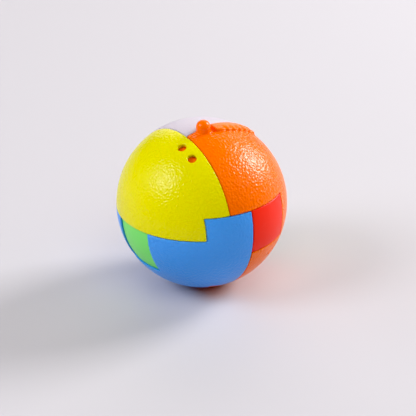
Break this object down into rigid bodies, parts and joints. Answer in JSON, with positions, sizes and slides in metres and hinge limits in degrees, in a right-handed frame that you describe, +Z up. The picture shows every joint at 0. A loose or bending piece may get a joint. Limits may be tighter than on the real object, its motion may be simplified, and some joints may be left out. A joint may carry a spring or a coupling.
{
  "type": "interlocking puzzle ball",
  "caption": "Hollow plastic puzzle ball cut into interlocking bars with coloured shells; two square key bars slide out of it, and a knob and a notched crest stand on top.",
  "frame": {"origin": "lowest point of the ball's sphere, on the surface it stands on, under the middle of the ball", "axes": "+Z up through the ball's middle; red key slides along Y; green key slides out along +X; orange is on the +Y side, yellow and blue on the +X side"},
  "size_m": [0.06, 0.06, 0.0636],
  "materials": {
    "yellow_plastic": "moulded, pebble grain, satin",
    "orange_plastic": "moulded, pebble grain, satin",
    "blue_plastic": "moulded, fine grain, satin",
    "white_plastic": "moulded, fine grain, satin",
    "red_plastic": "moulded, smooth satin",
    "green_plastic": "moulded, smooth satin"
  },
  "bodies": {
    "ball": {"yellow_shell": "yellow_plastic", "yellow_cover": "yellow_plastic", "blue_shell": "blue_plastic", "blue_cover": "blue_plastic", "orange_shell": "orange_plastic", "orange_cover": "orange_plastic", "white_shell": "white_plastic", "white_cover": "white_plastic"},
    "red_key": {"red_key_bar": "red_plastic", "red_key_cover": "red_plastic"},
    "green_key": {"green_key_bar": "green_plastic", "green_key_cover": "green_plastic"}
  },
  "joints": [
    {"name": "red_key_slide", "type": "slide", "parent": "ball", "child": "red_key", "axis": [0, 1, 0], "range_m": [-0.06, 0.06]},
    {"name": "green_key_slide", "type": "slide", "parent": "ball", "child": "green_key", "axis": [1, 0, 0], "range_m": [0, 0.06]}
  ]
}
